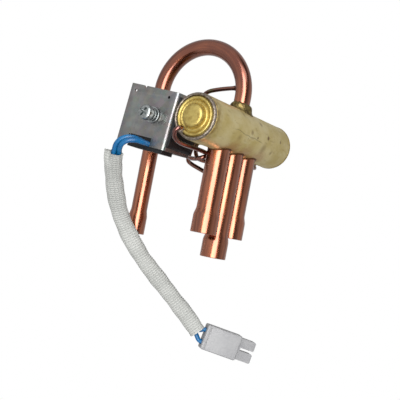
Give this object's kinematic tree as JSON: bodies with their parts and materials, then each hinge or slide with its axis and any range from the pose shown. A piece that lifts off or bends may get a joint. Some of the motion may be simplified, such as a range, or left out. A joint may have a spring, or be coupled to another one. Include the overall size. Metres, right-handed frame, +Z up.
{
  "type": "refrigerant reversing valve",
  "caption": "Brass slide valve body with parallel copper line pipes, a bent discharge pipe and a solenoid pilot valve whose coil has a sleeved lead and plug.",
  "frame": {"origin": "centre of the underside of the valve's bounding box as it lies on a table, the lead not counted", "axes": "+Z up, -Y out of the pipe sockets, +X towards the domed end of the body"},
  "size_m": [0.1156, 0.1865, 0.085],
  "materials": {
    "pale_brass": "satin, dull lacquer",
    "cap_brass": "satin",
    "braze": "rough, heat-darkened",
    "copper": "bright drawn copper tube",
    "dark_copper": "oxidised copper",
    "zinc_plate": "galvanised",
    "steel": "machined",
    "seat_brass": "machined",
    "slide_plastic": "moulded nylon",
    "seal_plastic": "low-friction plastic",
    "coil_black": "moulded",
    "bobbin_plastic": "moulded",
    "winding_copper": "enamelled wire",
    "blue_insulation": "extruded",
    "sleeve_fibre": "braided",
    "white_plastic": "moulded",
    "tin_plate": "plated"
  },
  "bodies": {
    "valve": {"body_tube": "pale_brass", "near_cap": "cap_brass", "near_braze_ring": "braze", "far_cap": "pale_brass", "seat_block": "seat_brass", "evaporator_pipe": "copper", "suction_pipe": "copper", "condenser_pipe": "copper", "discharge_pipe": "copper", "discharge_braze_collar": "braze", "pilot_bracket": "dark_copper", "capillary_discharge": "dark_copper", "capillary_near_cap": "dark_copper", "capillary_suction": "dark_copper", "capillary_far_cap": "dark_copper", "pilot_body": "seat_brass", "pilot_tube": "steel", "fixed_core": "steel", "return_spring": "steel", "pilot_seat": "seat_brass", "coil_frame": "zinc_plate", "coil_moulding": "coil_black", "coil_bobbin": "bobbin_plastic", "coil_winding": "winding_copper", "coil_screw": "zinc_plate", "spring_washer": "zinc_plate", "flat_washer": "zinc_plate", "lead_wire_a": "blue_insulation", "lead_wire_b": "blue_insulation", "braided_sleeve": "sleeve_fibre", "connector_housing": "white_plastic", "terminal_a": "tin_plate", "terminal_b": "tin_plate"},
    "slide_assembly": {"main_slide": "slide_plastic", "slide_carrier": "steel", "piston_near": "seat_brass", "piston_seal_near": "seal_plastic", "seal_retainer_near": "steel", "piston_screw_near": "steel", "piston_far": "seat_brass", "piston_seal_far": "seal_plastic", "seal_retainer_far": "steel", "piston_screw_far": "steel"},
    "plunger_assembly": {"plunger": "steel", "pilot_carrier": "steel", "pilot_slide": "seal_plastic"}
  },
  "joints": [
    {"name": "main_slide", "type": "slide", "parent": "valve", "child": "slide_assembly", "axis": [0.6724, -0.0078, -0.7402], "range_m": [0, 0.015]},
    {"name": "pilot_plunger", "type": "slide", "parent": "valve", "child": "plunger_assembly", "axis": [-0.6724, 0.0078, 0.7402], "range_m": [0, 0.004], "stiffness_N_per_m": 200, "springref_m": -0.006, "deforming": ["return_spring"]}
  ]
}
